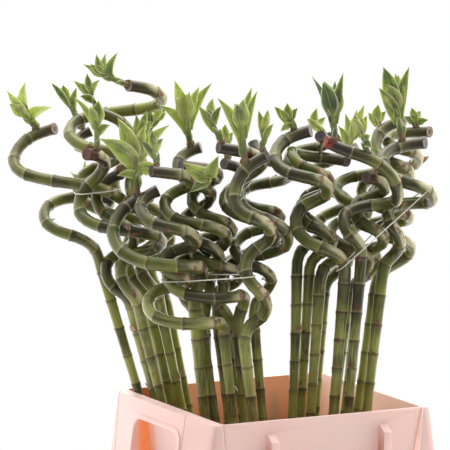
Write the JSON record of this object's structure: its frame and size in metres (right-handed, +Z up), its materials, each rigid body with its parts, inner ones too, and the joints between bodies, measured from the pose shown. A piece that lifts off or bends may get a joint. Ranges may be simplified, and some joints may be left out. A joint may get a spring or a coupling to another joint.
{
  "type": "lucky bamboo in a plastic bucket",
  "caption": "Curled lucky bamboo canes with leafy side shoots, tied in bunches and standing in water in a square plastic bucket.",
  "frame": {"origin": "middle of the bucket's flat underside", "axes": "+Z up, +X from one handle side to the other, the way that the bucket is longer; the finned sides face -Y and +Y"},
  "size_m": [0.4964, 0.3781, 0.7334],
  "materials": {
    "bucket_plastic": "translucent moulded plastic, satin",
    "water": "still water",
    "cane": "waxy green cane with brown joint rings",
    "leaf": "glossy leaf with pale margin",
    "thread": "thin pale elastic"
  },
  "bodies": {
    "root": {"bucket": "bucket_plastic", "water": "water", "cane_left_1": "cane", "cane_left_2": "cane", "cane_left_3": "cane", "cane_left_4": "cane", "cane_left_5": "cane", "cane_left_6": "cane", "cane_left_7": "cane", "cane_middle_1": "cane", "cane_middle_2": "cane", "cane_middle_3": "cane", "cane_middle_4": "cane", "cane_middle_5": "cane", "cane_middle_6": "cane", "cane_middle_7": "cane", "cane_middle_8": "cane", "cane_middle_9": "cane", "cane_right_1": "cane", "cane_right_2": "cane", "cane_right_3": "cane", "cane_right_4": "cane", "cane_right_5": "cane", "cane_right_6": "cane", "cane_right_7": "cane", "cane_right_8": "cane", "cane_right_9": "cane", "cane_right_10": "cane", "tie_left": "thread", "tie_middle": "thread", "tie_right": "thread", "shoot_left_1": "leaf", "shoot_left_2": "leaf", "shoot_left_3": "leaf", "shoot_left_4": "leaf", "shoot_left_5": "leaf", "shoot_left_6": "leaf", "shoot_left_7": "leaf", "shoot_left_8": "leaf", "shoot_middle_1": "leaf", "shoot_middle_2": "leaf", "shoot_middle_3": "leaf", "shoot_middle_4": "leaf", "shoot_middle_5": "leaf", "shoot_middle_6": "leaf", "shoot_middle_7": "leaf", "shoot_middle_8": "leaf", "shoot_right_1": "leaf", "shoot_right_2": "leaf", "shoot_right_3": "leaf", "shoot_right_4": "leaf", "shoot_right_5": "leaf", "shoot_right_6": "leaf", "shoot_right_7": "leaf", "shoot_right_8": "leaf", "shoot_right_9": "leaf"}
  },
  "joints": []
}
